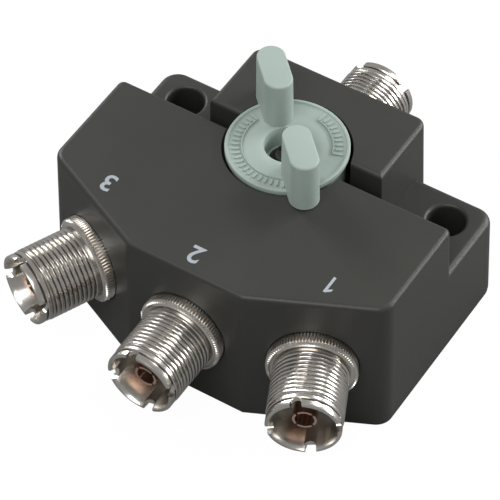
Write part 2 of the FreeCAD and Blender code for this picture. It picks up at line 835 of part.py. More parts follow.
def wheel_notch():
    """The notch in line with the spring's nose, a little wider than the nose."""
    floor_y = -notch_floor_radius
    n = spring_nose_half_width + spring_nose_gap
    nose_height = -(notch_floor_radius + spring_nose_gap) - spring_seat_y() - spring_thickness
    lean = spring_nose_run / nose_height
    mouth_y = -wheel_radius - 1
    m = n + spring_nose_gap + (floor_y - mouth_y) * lean
    return prism([(-n, floor_y), (n, floor_y), (m, mouth_y), (-m, mouth_y)], wheel_bottom_z, wheel_top_z)


def stop_slot():
    """A curved slot about the shaft, as long as the knob's travel."""
    half = stop_pin_radius + stop_slot_clearance
    travel = (len(pad_angles) - 1) * detent_step
    start = stop_pin_angle - stop_play_angle
    end = stop_pin_angle + travel + stop_play_angle
    track = ring(stop_pin_circle + half, stop_pin_circle - half, wheel_bottom_z, wheel_top_z)
    sector = Part.makeCylinder(wheel_radius, wheel_thickness, Vector(0, 0, wheel_bottom_z), Z_AXIS,
                               end - start)
    track = track.common(turned(sector, start))
    ends = []
    for angle in (start, end):
        place = polar(stop_pin_circle, angle)
        ends.append(cylinder(half, wheel_bottom_z, wheel_top_z, place.x, place.y))
    return track.fuse(ends)


def rotor():
    """The insulating disc that carries the blade and turns in the contact plate."""
    top_z = rotor_bottom_z + rotor_thickness
    hub_z = top_z + rotor_hub_height
    body = cylinder(rotor_radius, rotor_bottom_z, top_z)
    body = body.fuse([
        cylinder(rotor_hub_radius, top_z, hub_z),
        cylinder(rotor_pilot_radius, rotor_bottom_z - rotor_pilot_length, rotor_bottom_z),
    ])
    socket = d_section(shaft_radius + fit_clearance, shaft_flat + fit_clearance,
                       rotor_bottom_z + rotor_socket_floor, hub_z)
    body = body.cut(turned(socket, knob_rest_angle))
    for x, y in blade_rivet_places():
        body = body.cut(cylinder(blade_rivet_radius, rotor_bottom_z, top_z, x, y))
    return body.removeSplitter()


def blade_rivet_places():
    places = []
    for side in (-0.5, 0.5):
        place = Vector(blade_rivet_circle, side * blade_rivet_spacing, 0)
        turn = FreeCAD.Rotation(Z_AXIS, knob_rest_angle)
        place = turn.multVec(place)
        places.append((place.x, place.y))
    return places


def rotor_blade():
    """A flat spring that bridges the collector ring and one fixed contact."""
    inner = rotor_pilot_radius + fit_clearance
    tip = Vector(pad_circle, 0, 0)
    blade = cylinder(blade_ring_radius, blade_bottom_z, rotor_bottom_z)
    blade = blade.fuse(bar(Vector(0, 0, 0), tip, blade_width, blade_bottom_z, rotor_bottom_z))
    blade = turned(blade.cut(cylinder(inner, blade_bottom_z, rotor_bottom_z)), knob_rest_angle)
    for x, y in blade_rivet_places():
        blade = blade.cut(cylinder(blade_rivet_radius, blade_bottom_z, rotor_bottom_z, x, y))
    return blade.removeSplitter()


def blade_rivets():
    rivets = []
    top_z = rotor_bottom_z + rotor_thickness
    for x, y in blade_rivet_places():
        low = blade_bottom_z - blade_rivet_head_height
        high = top_z + blade_rivet_head_height
        rivet = cylinder(blade_rivet_radius, low, high, x, y)
        rivet = rivet.fuse([
            cylinder(blade_rivet_head_radius, low, blade_bottom_z, x, y),
            cylinder(blade_rivet_head_radius, top_z, high, x, y),
        ])
        rivets.append(rivet.removeSplitter())
    return Part.makeCompound(rivets)


def connector_parts():
    parts = {}
    nuts = []
    for name, angle, centre in ports:
        parts[name + "_shell"] = in_port_frame(port_shell(), angle, centre)
        parts[name + "_insulator"] = in_port_frame(port_insulator(), angle, centre)
        parts[name + "_contact"] = in_port_frame(port_contact(), angle, centre)
        nuts.append(in_port_frame(port_nut(), angle, centre))
        if name in pad_angles:
            parts[name + "_strap"] = selectable_strap(name, angle, centre)
        else:
            parts[name + "_strap"] = common_strap(angle, centre)
    parts["port_nuts"] = Part.makeCompound(nuts)
    return parts


def build():
    parts = {
        "housing": housing(),
        "bottom_cover": bottom_cover(),
        "cover_screws": cover_screws(),
        "stator_plate": stator_plate(),
        "stator_screws": stator_screws(),
        "strap_rivets": strap_rivets(),
        "shaft_bush": shaft_bush(),
        "stop_pin": stop_pin(),
        "detent_spring": detent_spring(),
        "detent_spring_screws": detent_spring_screws(),
        "knob": knob(),
        "knob_washer": knob_washer(),
        "knob_screw": knob_screw(),
        "shaft": shaft(),
        "shaft_clip": shaft_clip(),
        "detent_wheel": detent_wheel(),
        "rotor": rotor(),
        "rotor_blade": rotor_blade(),
        "blade_rivets": blade_rivets(),
    }
    parts.update(connector_parts())
    return parts


os.makedirs("parts", exist_ok=True)
for name, shape in build().items():
    shape.exportStep("parts/" + name + ".step")
    print(name, len(shape.Solids), round(shape.Volume, 2), shape.isValid())
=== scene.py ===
import json
import math
import bmesh
import bpy
from mathutils import Matrix, Vector


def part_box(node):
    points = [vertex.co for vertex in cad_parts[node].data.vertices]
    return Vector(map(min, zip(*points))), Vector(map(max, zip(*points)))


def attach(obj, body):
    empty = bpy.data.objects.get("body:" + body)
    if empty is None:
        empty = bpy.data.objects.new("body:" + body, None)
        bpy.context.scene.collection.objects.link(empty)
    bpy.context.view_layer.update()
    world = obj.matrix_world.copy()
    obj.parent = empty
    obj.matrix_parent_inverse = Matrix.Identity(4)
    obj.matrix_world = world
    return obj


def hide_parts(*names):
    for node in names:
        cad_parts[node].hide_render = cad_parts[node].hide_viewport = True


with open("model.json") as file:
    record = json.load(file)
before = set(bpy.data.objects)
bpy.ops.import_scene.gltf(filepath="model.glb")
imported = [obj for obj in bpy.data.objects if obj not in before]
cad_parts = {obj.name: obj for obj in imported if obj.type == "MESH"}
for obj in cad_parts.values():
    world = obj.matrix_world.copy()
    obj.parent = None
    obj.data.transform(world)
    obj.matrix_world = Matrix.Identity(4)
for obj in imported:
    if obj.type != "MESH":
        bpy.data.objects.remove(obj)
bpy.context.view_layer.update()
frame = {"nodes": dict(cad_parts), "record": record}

# Cast housing.
# A die-cast box with two mounting ears and a raised rear block, sprayed with a satin
# charcoal paint that shows the faint grain of the casting.
MM = 0.001
nodes = frame["nodes"]
mounts = {m["name"]: m for m in frame["record"]["mounts"]}


class Wire:
    """A socket in a material. Python's operators on it add Math nodes."""

    def __init__(self, tree, socket):
        self.tree = tree
        self.socket = socket

    def math(self, operation, first, second):
        node = self.tree.nodes.new("ShaderNodeMath")
        node.operation = operation
        for slot, value in zip(node.inputs, (first, second)):
            plug(self.tree, slot, value)
        return Wire(self.tree, node.outputs[0])

    def __add__(self, other):
        return self.math("ADD", self, other)

    def __sub__(self, other):
        return self.math("SUBTRACT", self, other)

    def __rsub__(self, other):
        return self.math("SUBTRACT", other, self)

    def __mul__(self, other):
        return self.math("MULTIPLY", self, other)

    __radd__ = __add__
    __rmul__ = __mul__


def plug(tree, socket, value):
    """Link a wire to a socket, or set a plain value on it."""
    if isinstance(value, Wire):
        tree.links.new(value.socket, socket)
    elif value is not None:
        socket.default_value = value


def add_node(tree, kind, settings=None, inputs=None, output=0):
    """A new node: its settings first, then the values or wires of its sockets."""
    made = tree.nodes.new(kind)
    for key, value in (settings or {}).items():
        if key == "stops":
            set_stops(made.color_ramp, value)
        else:
            setattr(made, key, value)
    for key, value in (inputs or {}).items():
        plug(tree, made.inputs[key], value)
    return Wire(tree, made.outputs[output])


class Finish:
    """A material with one Principled shader, fed by wires from other nodes."""

    def __init__(self, name, **constants):
        self.material = bpy.data.materials.new(name)
        self.material.use_nodes = True
        self.tree = self.material.node_tree
        self.shader = self.tree.nodes["Principled BSDF"]
        for socket, value in constants.items():
            self.shader.inputs[socket.replace("_", " ")].default_value = value

    def node(self, kind, settings=None, inputs=None, output=0):
        return add_node(self.tree, kind, settings, inputs, output)

    def feed(self, **wires):
        for socket, value in wires.items():
            plug(self.tree, self.shader.inputs[socket.replace("_", " ")], value)

    def noise(self, scale, detail=3.0, roughness=0.5):
        place = self.node("ShaderNodeTexCoord", output=3)
        return self.node("ShaderNodeTexNoise", None,
                         {"Vector": place, "Scale": scale, "Detail": detail, "Roughness": roughness})

    def mix(self, factor, first, second):
        """A colour between two colours."""
        return self.node("ShaderNodeMix", {"data_type": "RGBA"}, {0: factor, 6: first, 7: second}, 2)

    def bump(self, height, depth, strength=1.0):
        self.feed(Normal=self.node("ShaderNodeBump", None,
                                   {"Height": height, "Distance": depth, "Strength": strength}))


def set_stops(ramp, stops):
    """Give a colour ramp its (position, colour) stops."""
    while len(ramp.elements) < len(stops):
        ramp.elements.new(0.5)
    for element, (position, colour) in zip(ramp.elements, stops):
        element.position = position
        element.color = colour


def srgb(red, green, blue):
    """A linear colour, from the 0 to 255 values of a screen colour."""
    linear = [((c / 255 + 0.055) / 1.055) ** 2.4 if c > 10 else c / 3295 for c in (red, green, blue)]
    return (*linear, 1.0)


def dress(obj, finish):
    """Cover the whole object in one material."""
    obj.data.materials.clear()
    obj.data.materials.append(finish.material)


def cast_paint(name, colour, grain_depth):
    """Satin paint on a casting: a fine grain and a soft mottle, between a darker and a paler tone."""
    paint = Finish(name, Specular_IOR_Level=0.42)
    grain = paint.noise(2600.0, 2.0, 0.6)
    mottle = paint.noise(45.0, 4.0, 0.6)
    darker = tuple(c * 0.84 for c in colour[:3]) + (1.0,)
    paler = tuple(c * 1.14 for c in colour[:3]) + (1.0,)
    paint.feed(Base_Color=paint.mix(mottle * 0.75 + grain * 0.25, darker, paler),
               Roughness=mottle * 0.08 + grain * 0.12 + 0.34)
    paint.bump(grain, grain_depth)
    return paint


charcoal = srgb(50, 50, 47)
body_paint = cast_paint("charcoal_paint", charcoal, 0.022 * MM)
dress(nodes["housing"], body_paint)

# Bottom cover and its screws.
# A thin stamped plate in the same paint closes the box from below, held by four
# countersunk steel screws.
cover_paint = cast_paint("cover_paint", srgb(50, 50, 48), 0.008 * MM)
dress(nodes["bottom_cover"], cover_paint)


def machined_metal(name, colour, roughness, swirl):
    """Bare or plated metal: its tint and its roughness wander a little with the handling."""
    metal = Finish(name, Metallic=1.0)
    smear = metal.noise(180.0, 3.0, 0.6)
    fine = metal.noise(3500.0, 2.0, 0.5)
    dull = tuple(c * 0.82 for c in colour[:3]) + (1.0,)
    metal.feed(Base_Color=metal.mix(smear, dull, colour),
               Roughness=smear * swirl + fine * 0.06 + roughness)
    metal.bump(fine, 0.003 * MM)
    return metal


zinc = machined_metal("zinc_plated_steel", srgb(196, 196, 192), 0.28, 0.12)
dark_steel = machined_metal("blackened_steel", srgb(70, 70, 70), 0.38, 0.12)
for name in ("cover_screws", "stator_screws", "detent_spring_screws", "shaft", "shaft_clip",
             "detent_wheel", "detent_spring", "stop_pin"):
    dress(nodes[name], zinc)
for name in ("knob_screw", "knob_washer"):
    dress(nodes[name], dark_steel)

# Printed numbers.
# Pale grey screen-printed figures on the top, one beside each front connector. They
# read from the back of the box, where the user stands.
DIGIT_HEIGHT = 4.4 * MM
DIGIT_PLACES = {"1": (26.8, -27.2), "2": (-0.3, -34.4), "3": (-25.9, -27.5)}
PRINT_THICKNESS = 0.03 * MM
STROKE_THICKENING = 0.10 * MM
FIGURE_HEIGHT_SHARE = 0.7
print_ink = Finish("pale_print", Specular_IOR_Level=0.3)
ink_wear = print_ink.noise(1500.0, 3.0, 0.6)
print_ink.feed(Base_Color=print_ink.mix(ink_wear, srgb(142, 148, 154), srgb(166, 172, 178)),
               Roughness=ink_wear * 0.15 + 0.45)
print_ink.bump(ink_wear, 0.004 * MM)

top_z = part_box("housing")[1].z


def finished(name, mesh, finish, body):
    """A new piece from a mesh, dressed, riding on its body."""
    obj = bpy.data.objects.new(name, mesh)
    bpy.context.scene.collection.objects.link(obj)
    dress(obj, finish)
    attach(obj, body)
    return obj


def one_mesh(height):
    """A plain figure 1: an upright stroke with a short sloping flag."""
    outline = [(0.09, -0.5), (0.09, 0.5), (-0.03, 0.5), (-0.26, 0.30), (-0.26, 0.17), (-0.05, 0.29),
               (-0.05, -0.5)]
    maker = bmesh.new()
    low = [maker.verts.new((x * height, y * height, -PRINT_THICKNESS)) for x, y in outline]
    grown = bmesh.ops.extrude_face_region(maker, geom=[maker.faces.new(low)])
    moved = [v for v in grown["geom"] if isinstance(v, bmesh.types.BMVert)]
    bmesh.ops.translate(maker, verts=moved, vec=(0, 0, 2 * PRINT_THICKNESS))
    bmesh.ops.recalc_face_normals(maker, faces=maker.faces)
    mesh = bpy.data.meshes.new("figure_one")
    maker.to_mesh(mesh)
    maker.free()
    return mesh


def figure_mesh(text, height):
    """A round figure, set in the built-in sans typeface and thickened a little."""
    curve = bpy.data.curves.new("figure", "FONT")
    curve.body = text
    curve.size = height / FIGURE_HEIGHT_SHARE
    curve.align_x = "CENTER"
    curve.align_y = "CENTER"
    curve.extrude = PRINT_THICKNESS
    curve.offset = STROKE_THICKENING
    obj = bpy.data.objects.new("figure", curve)
    bpy.context.scene.collection.objects.link(obj)
    bpy.context.view_layer.update()
    mesh = bpy.data.meshes.new_from_object(obj.evaluated_get(bpy.context.evaluated_depsgraph_get()))
    bpy.data.objects.remove(obj)
    return mesh


for number, (x, y) in DIGIT_PLACES.items():
    mesh = one_mesh(DIGIT_HEIGHT) if number == "1" else figure_mesh(number, DIGIT_HEIGHT)
    place = Matrix.Translation((x * MM, y * MM, top_z))
    mesh.transform(place @ Matrix.Rotation(math.pi, 4, "Z"))
    finished("print_number_" + number, mesh, print_ink, "box")

# Connector barrels.
# Turned brass, nickel plated: a knurled flange against the box, a relief groove, the
# 24-per-inch thread, and a plain front ring with four notches for the plug's teeth.
THREAD_RADIUS = mounts["port_1_thread"]["dims"]["r_mm"] * MM
THREAD_LENGTH = mounts["port_1_thread"]["dims"]["length_mm"] * MM
PITCH = 25.4 / 24 * MM
THREAD_DEPTH = 0.42 * MM
GROOVE_SHARE = 0.27
THREAD_FADE = 0.6 * PITCH
STEPS_PER_PITCH = 12
FLANGE_RADIUS = 9.5 * MM
FLANGE_THICKNESS = 3.0 * MM
SHOULDER_RADIUS = 8.6 * MM
KNURLS = 88
KNURL_DEPTH = 0.42 * MM
SAMPLES_PER_KNURL = 4
HIDDEN_OVERLAP = 1 * MM
RELIEF_RADIUS = 7.5 * MM
RELIEF_WIDTH = 0.6 * MM
THREAD_START = FLANGE_THICKNESS + RELIEF_WIDTH
THREAD_MIDDLE = THREAD_START + THREAD_LENGTH / 2
RING_RADIUS = 7.8 * MM
RING_LENGTH = 3.1 * MM
GROOVE_RADIUS = 7.45 * MM
GROOVE_WIDTH = 0.4 * MM
GROOVE_FROM_FRONT = 1.5 * MM
SHELL_LENGTH = THREAD_START + THREAD_LENGTH + RING_LENGTH
BORE_RADIUS = 6.5 * MM
SPIGOT_RADIUS = 7.5 * MM
SPIGOT_REAR = -5.4 * MM
REAR_BORE_RADIUS = 5.4 * MM
REAR_BORE_LENGTH = 4.4 * MM
NOTCH_WIDTH = 2.4 * MM
NOTCH_DEPTH = 2.0 * MM
NOTCH_REACH = 12 * MM
NOTCH_OVERSHOOT = 1 * MM
NOTCH_TURNS = {"port_1": 12, "port_2": 14, "port_3": 10, "common": -40}
AROUND = 120
EDGE = 0.18 * MM


def mount_frame(name):
    """A connector's frame at its face: +Z outwards along its axis, +Y up."""
    mount = mounts[name + "_thread"]
    outwards = Vector(mount["axis"])
    up = Vector((0, 0, 1))
    right = up.cross(outwards)
    centre = Vector(mount["pos_m"]) - outwards * THREAD_MIDDLE
    turn = Matrix((right, up, outwards)).transposed().to_4x4()
    return Matrix.Translation(centre) @ turn


def spin(profile, around, radius_at=None):
    """A closed profile of (radius, height) points, turned about Z into a closed mesh."""
    mesh_maker = bmesh.new()
    rings = []
    for radius, height in profile:
        row = []
        for i in range(around):
            angle = 2 * math.pi * i / around
            r = radius_at(radius, height, angle) if radius_at else radius
            row.append(mesh_maker.verts.new((r * math.cos(angle), r * math.sin(angle), height)))
        rings.append(row)
    for first, second in zip(rings, rings[1:] + rings[:1]):
        for i in range(around):
            j = (i + 1) % around
            mesh_maker.faces.new((first[i], first[j], second[j], second[i]))
    bmesh.ops.recalc_face_normals(mesh_maker, faces=mesh_maker.faces)
    return mesh_maker


def as_mesh(mesh_maker, name, crease=math.radians(32)):
    """The finished mesh, smooth except where it turns by more than the crease angle."""
    mesh = bpy.data.meshes.new(name)
    mesh_maker.to_mesh(mesh)
    mesh_maker.free()
    mesh.shade_smooth()
    mesh.set_sharp_from_angle(angle=crease)
    return mesh


def thread_radius(radius, height, angle):
    """On the thread's stretch, the radius follows a helical groove between flat crests."""
    along = height - THREAD_START
    if radius != THREAD_RADIUS or along <= 0 or along >= THREAD_LENGTH:
        return radius
    turn = (along / PITCH - angle / (2 * math.pi)) % 1.0
    groove = max(0.0, 1.0 - abs(turn - 0.5) / GROOVE_SHARE)
    fade = min(1.0, along / THREAD_FADE, (THREAD_LENGTH - along) / THREAD_FADE)
    return radius - THREAD_DEPTH * groove * fade


def shell_profile():
    """Half the barrel's lengthwise section, round its outside and back through the bore."""
    bore_step = SPIGOT_REAR + REAR_BORE_LENGTH
    outside = [(SPIGOT_RADIUS, SPIGOT_REAR), (SPIGOT_RADIUS, FLANGE_THICKNESS / 2),
               (RELIEF_RADIUS, FLANGE_THICKNESS / 2), (RELIEF_RADIUS, THREAD_START - EDGE)]
    steps = round(THREAD_LENGTH / (PITCH / STEPS_PER_PITCH))
    outside += [(THREAD_RADIUS, THREAD_START + THREAD_LENGTH * i / steps) for i in range(steps + 1)]
    thread_end = THREAD_START + THREAD_LENGTH
    groove_end = SHELL_LENGTH - GROOVE_FROM_FRONT
    groove_start = groove_end - GROOVE_WIDTH
    outside += [(RING_RADIUS - EDGE, thread_end + EDGE), (RING_RADIUS, thread_end + 2 * EDGE),
                (RING_RADIUS, groove_start - EDGE), (RING_RADIUS - EDGE, groove_start),
                (GROOVE_RADIUS, groove_start), (GROOVE_RADIUS, groove_end),
                (RING_RADIUS - EDGE, groove_end), (RING_RADIUS, groove_end + EDGE),
                (RING_RADIUS, SHELL_LENGTH - 2 * EDGE),
                (RING_RADIUS - 0.6 * EDGE, SHELL_LENGTH - 0.6 * EDGE),
                (RING_RADIUS - 2 * EDGE, SHELL_LENGTH)]
    inside = [(BORE_RADIUS + 3 * EDGE, SHELL_LENGTH), (BORE_RADIUS, SHELL_LENGTH - 5 * EDGE),
              (BORE_RADIUS, bore_step), (REAR_BORE_RADIUS, bore_step),
              (REAR_BORE_RADIUS, SPIGOT_REAR)]
    return outside + inside


def notch_cutter():
    """One U-shaped slot right across the end of the barrel."""
    maker = bmesh.new()
    half = NOTCH_WIDTH / 2
    floor = SHELL_LENGTH - NOTCH_DEPTH + half
    open_end = SHELL_LENGTH + NOTCH_OVERSHOOT
    outline = [(half, open_end), (-half, open_end)]
    for i in range(13):
        angle = math.pi + math.pi * i / 12
        outline.append((half * math.cos(angle), floor + half * math.sin(angle)))
    front = [maker.verts.new((x, -NOTCH_REACH, z)) for x, z in outline]
    face = maker.faces.new(front)
    grown = bmesh.ops.extrude_face_region(maker, geom=[face])
    moved = [v for v in grown["geom"] if isinstance(v, bmesh.types.BMVert)]
    bmesh.ops.translate(maker, verts=moved, vec=(0, 2 * NOTCH_REACH, 0))
    bmesh.ops.recalc_face_normals(maker, faces=maker.faces)
    return as_mesh(maker, "notch")


def cut(mesh, cutters):
    """The mesh with each cutter taken away by an exact Boolean."""
    base = bpy.data.objects.new("base", mesh)
    bpy.context.scene.collection.objects.link(base)
    tools = []
    for cutter in cutters:
        tool = bpy.data.objects.new("tool", cutter)
        bpy.context.scene.collection.objects.link(tool)
        modifier = base.modifiers.new("cut", "BOOLEAN")
        modifier.operation = "DIFFERENCE"
        modifier.solver = "EXACT"
        modifier.object = tool
        tools.append(tool)
    bpy.context.view_layer.update()
    result = bpy.data.meshes.new_from_object(base.evaluated_get(bpy.context.evaluated_depsgraph_get()))
    for obj in tools + [base]:
        bpy.data.objects.remove(obj)
    return result


def knurled_radius(radius, height, angle):
    """On the flange's rim, narrow grooves along the axis leave flat ridges between them."""
    if radius < FLANGE_RADIUS - 2.5 * EDGE:
        return radius
    phase = (angle * KNURLS / (2 * math.pi)) % 1.0
    return radius - KNURL_DEPTH * max(0.0, 1.0 - 4 * min(phase, 1.0 - phase))


def flange_mesh():
    """The knurled ring, chamfered at both faces, with a low smooth shoulder in front."""
    hidden = SPIGOT_RADIUS - HIDDEN_OVERLAP
    profile = [(hidden, 0.0), (FLANGE_RADIUS - 3 * EDGE, 0.0), (FLANGE_RADIUS, 1.5 * EDGE),
               (FLANGE_RADIUS, FLANGE_THICKNESS - 4 * EDGE),
               (FLANGE_RADIUS - 2.1 * EDGE, FLANGE_THICKNESS - 2.5 * EDGE),
               (SHOULDER_RADIUS + EDGE, FLANGE_THICKNESS - 2 * EDGE),
               (SHOULDER_RADIUS, FLANGE_THICKNESS - EDGE),
               (SHOULDER_RADIUS - EDGE, FLANGE_THICKNESS), (hidden, FLANGE_THICKNESS)]
    ring = spin(profile, KNURLS * SAMPLES_PER_KNURL, knurled_radius)
    return as_mesh(ring, "flange", math.radians(50))


def joined(name, meshes):
    """One mesh from several closed ones."""
    maker = bmesh.new()
    for mesh in meshes:
        maker.from_mesh(mesh)
    mesh = bpy.data.meshes.new(name)
    maker.to_mesh(mesh)
    maker.free()
    mesh.shade_smooth()
    mesh.set_sharp_from_angle(angle=math.radians(38))
    return mesh


def nickel_plate():
    """Bright nickel on turned brass, with painted shade down in the grooves, which turn a little duller
    and browner.
    """
    metal = Finish("nickel_plate", Metallic=1.0)
    groove_shade_mask = metal.node("ShaderNodeNewGeometry", output="Pointiness")
    # Painted shade: where the surface is hollow, in the thread and knurl grooves, the colour is mixed
    # towards a dark brown-grey.
    ramp = metal.node("ShaderNodeValToRGB", {"stops": [(0.44, (0, 0, 0, 1)), (0.50, (1, 1, 1, 1))]},
                      {"Fac": groove_shade_mask})
    smear = metal.noise(160.0, 3.0, 0.6)
    plate = metal.mix(smear, srgb(204, 199, 192), srgb(232, 228, 222))
    fine = metal.noise(3500.0, 2.0, 0.5)
    metal.feed(Base_Color=metal.mix(ramp, srgb(112, 104, 96), plate),
               Roughness=smear * 0.16 + fine * 0.06 + 0.12)
    metal.bump(fine, 0.003 * MM)
    return metal


nickel = nickel_plate()
quarter = Matrix.Rotation(math.pi / 2, 4, "Z")
slot_across = notch_cutter()
slot_other = slot_across.copy()
slot_other.transform(quarter)
barrel = cut(as_mesh(spin(shell_profile(), AROUND, thread_radius), "barrel"), [slot_across, slot_other])
shell_mesh = joined("shell", [barrel, flange_mesh()])

for name, turn in NOTCH_TURNS.items():
    mesh = shell_mesh.copy()
    mesh.transform(mount_frame(name) @ Matrix.Rotation(math.radians(turn), 4, "Z"))
    shell = finished(name + "_barrel", mesh, nickel, "box")
    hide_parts(name + "_shell")
dress(nodes["port_nuts"], nickel)

# Connector insulators and contacts.
# A grey moulded sleeve, deep inside, carries a copper socket, split into four spring
# fingers that grip the plug's pin.
sleeve_plastic = Finish("grey_sleeve", Specular_IOR_Level=0.5)
sleeve_grain = sleeve_plastic.noise(900.0, 3.0, 0.6)
sleeve_plastic.feed(Base_Color=sleeve_plastic.mix(sleeve_grain, srgb(150, 148, 142), srgb(166, 164, 158)),
                    Roughness=sleeve_grain * 0.15 + 0.35)
sleeve_plastic.bump(sleeve_grain, 0.01 * MM)
copper = machined_metal("copper_contact", srgb(228, 196, 178), 0.16, 0.12)
brass = machined_metal("plain_brass", srgb(214, 184, 120), 0.25, 0.12)
for name in NOTCH_TURNS:
    dress(nodes[name + "_insulator"], sleeve_plastic)
    dress(nodes[name + "_contact"], copper)
    dress(nodes[name + "_strap"], brass)
for name in ("shaft_bush", "strap_rivets", "rotor_blade", "blade_rivets"):
    dress(nodes[name], brass)

# Rotor and contact plate.
# Inside the box: a white turned disc carries the blade, over a brown laminate plate.
rotor_plastic = Finish("white_rotor", Specular_IOR_Level=0.4)
rotor_grain = rotor_plastic.noise(700.0, 3.0, 0.5)
rotor_plastic.feed(Base_Color=rotor_plastic.mix(rotor_grain, srgb(222, 222, 216), srgb(238, 238, 234)),
                   Roughness=rotor_grain * 0.1 + 0.4)
dress(nodes["rotor"], rotor_plastic)
laminate = Finish("laminate_board", Specular_IOR_Level=0.4)
laminate_grain = laminate.noise(500.0, 5.0, 0.6)
laminate.feed(Base_Color=laminate.mix(laminate_grain, srgb(112, 70, 36), srgb(150, 100, 58)),
              Roughness=laminate_grain * 0.15 + 0.4)
dress(nodes["stator_plate"], laminate)

# Selector knob.
# One pale grey-green moulding: a disc with a raised lip and a sunken band of short ribs,
# two upright wings with round ends, and a deep round well for the screw.
KNOB_LOW, KNOB_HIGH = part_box("knob")
DISC_RADIUS = 13.05 * MM
DISC_TOP = top_z + 0.8 * MM
DISC_THICKNESS = 1.2 * MM
LIP_WIDTH = 0.75 * MM
LIP_ROUND = 0.28 * MM
BAND_OUTER = 12.0 * MM
BAND_INNER = 9.4 * MM
BAND_DEPTH = 0.35 * MM
HUB_RADIUS = 12.2 * MM
HUB_WALL = 2.0 * MM
WELL_RADIUS = 4.9 * MM
WELL_FLOOR = top_z - 4.5 * MM
BOSS_RADIUS = 6.5 * MM
SCREW_HOLE = 1.7 * MM
WING_WIDTH = 6.4 * MM
WING_LENGTH = 13.0 * MM
WING_CENTRE = 11.5 * MM
WING_BOTTOM = top_z + 0.3 * MM
WING_ROUND = 0.45 * MM
POINTER = math.radians(-45)
WING_DRAFT = 0.16 * MM
WING_FOOT_DRAFT = 0.02 * MM
SHAFT_SOCKET_RADIUS = 3.05 * MM
SCREW_SEAT_THICKNESS = 2.5 * MM
UNDERSIDE_CHAMFER = 0.1 * MM
LIP_EDGE = ((0.1, 0.0), (0.0, -0.08))
BAND_CORNER = ((-0.15, 0.04), (-0.3, 0.0))
BAND_RISE = ((0.0, 0.0), (-0.7, 0.06), (-1.5, 0.20))
BAND_SHOULDER = ((-2.2, -0.04), (-2.8, 0.0))
WELL_RIM = ((0.3, 0.0), (0.08, -0.08), (0.0, -0.3))
RIB_HEIGHT = 0.33 * MM
RIB_ROOT = 0.1 * MM
RIB_TAPER = 0.07 * MM
RIB_WIDTH = 0.62 * MM
RIB_LENGTH = 1.75 * MM
RIB_STEP = math.radians(6.7)
END_RIB_MARGIN = 0.1 * MM
BORDER_WIDTH = 0.24 * MM
BAND_ARCS = ((163, 297), (18, 79))


def near(radius, height, offsets):
    """Points given by their offsets, in millimetres, from a corner of a turned profile."""
    return [(radius + across * MM, height + rise * MM) for across, rise in offsets]


def knob_disc():
    """The disc, skirt and boss as one turned profile, with rounded lips and band edges."""
    r = LIP_ROUND
    skirt_top = DISC_TOP - 2 * HUB_WALL
    socket_top = WELL_FLOOR - SCREW_SEAT_THICKNESS
    disc_bottom = DISC_TOP - DISC_THICKNESS
    top = []
    for i in range(7):
        angle = math.pi / 2 * i / 6
        top.append((DISC_RADIUS - r + r * math.cos(angle), DISC_TOP - r + r * math.sin(angle)))
    band_floor = DISC_TOP - BAND_DEPTH
    lip_inner = DISC_RADIUS - LIP_WIDTH
    top += near(lip_inner, DISC_TOP, LIP_EDGE) + near(lip_inner, band_floor, BAND_CORNER)
    top += near(BAND_INNER, band_floor, BAND_RISE) + near(BAND_INNER, DISC_TOP, BAND_SHOULDER)
    top += near(WELL_RADIUS, DISC_TOP, WELL_RIM)
    top += [(WELL_RADIUS, WELL_FLOOR), (SCREW_HOLE, WELL_FLOOR), (SCREW_HOLE, socket_top),
            (SHAFT_SOCKET_RADIUS, socket_top), (SHAFT_SOCKET_RADIUS, KNOB_LOW.z),
            (BOSS_RADIUS, KNOB_LOW.z), (BOSS_RADIUS, skirt_top), (HUB_RADIUS - HUB_WALL, skirt_top),
            (HUB_RADIUS - HUB_WALL, KNOB_LOW.z), (HUB_RADIUS, KNOB_LOW.z),
            (HUB_RADIUS, disc_bottom), (DISC_RADIUS - UNDERSIDE_CHAMFER, disc_bottom),
            (DISC_RADIUS, disc_bottom + UNDERSIDE_CHAMFER)]
    return as_mesh(spin(top, 160), "knob_disc")


def stadium(width, length, steps=16):
    """The outline of a bar with round ends, centred on the origin and lying along X."""
    half = (length - width) / 2
    points = []
    for side in (0, 1):
        for i in range(steps + 1):
            angle = -math.pi / 2 + math.pi * i / steps + math.pi * side
            points.append((half * (1 - 2 * side) + width / 2 * math.cos(angle),
                           width / 2 * math.sin(angle)))
    return points


def knob_wing():
    """An upright stadium column, a little slimmer at the top, with a rounded upper edge."""
    maker = bmesh.new()
    levels = [(WING_BOTTOM, 0.0), (DISC_TOP, -WING_FOOT_DRAFT),
              (KNOB_HIGH.z - WING_ROUND, -WING_DRAFT)]
    for i in range(1, 7):
        angle = math.pi / 2 * i / 6
        levels.append((KNOB_HIGH.z - WING_ROUND + WING_ROUND * math.sin(angle),
                       -WING_DRAFT - WING_ROUND * (1 - math.cos(angle))))
    rows = []
    for z, grow in levels:
        outline = stadium(WING_WIDTH + 2 * grow, WING_LENGTH + 2 * grow)
        rows.append([maker.verts.new((x + WING_CENTRE, y, z)) for x, y in outline])
    count = len(rows[0])
    for first, second in zip(rows, rows[1:]):
        for i in range(count):
            j = (i + 1) % count
            maker.faces.new((first[i], first[j], second[j], second[i]))
    maker.faces.new(rows[-1])
    maker.faces.new(list(reversed(rows[0])))
    bmesh.ops.recalc_face_normals(maker, faces=maker.faces)
    return as_mesh(maker, "wing")


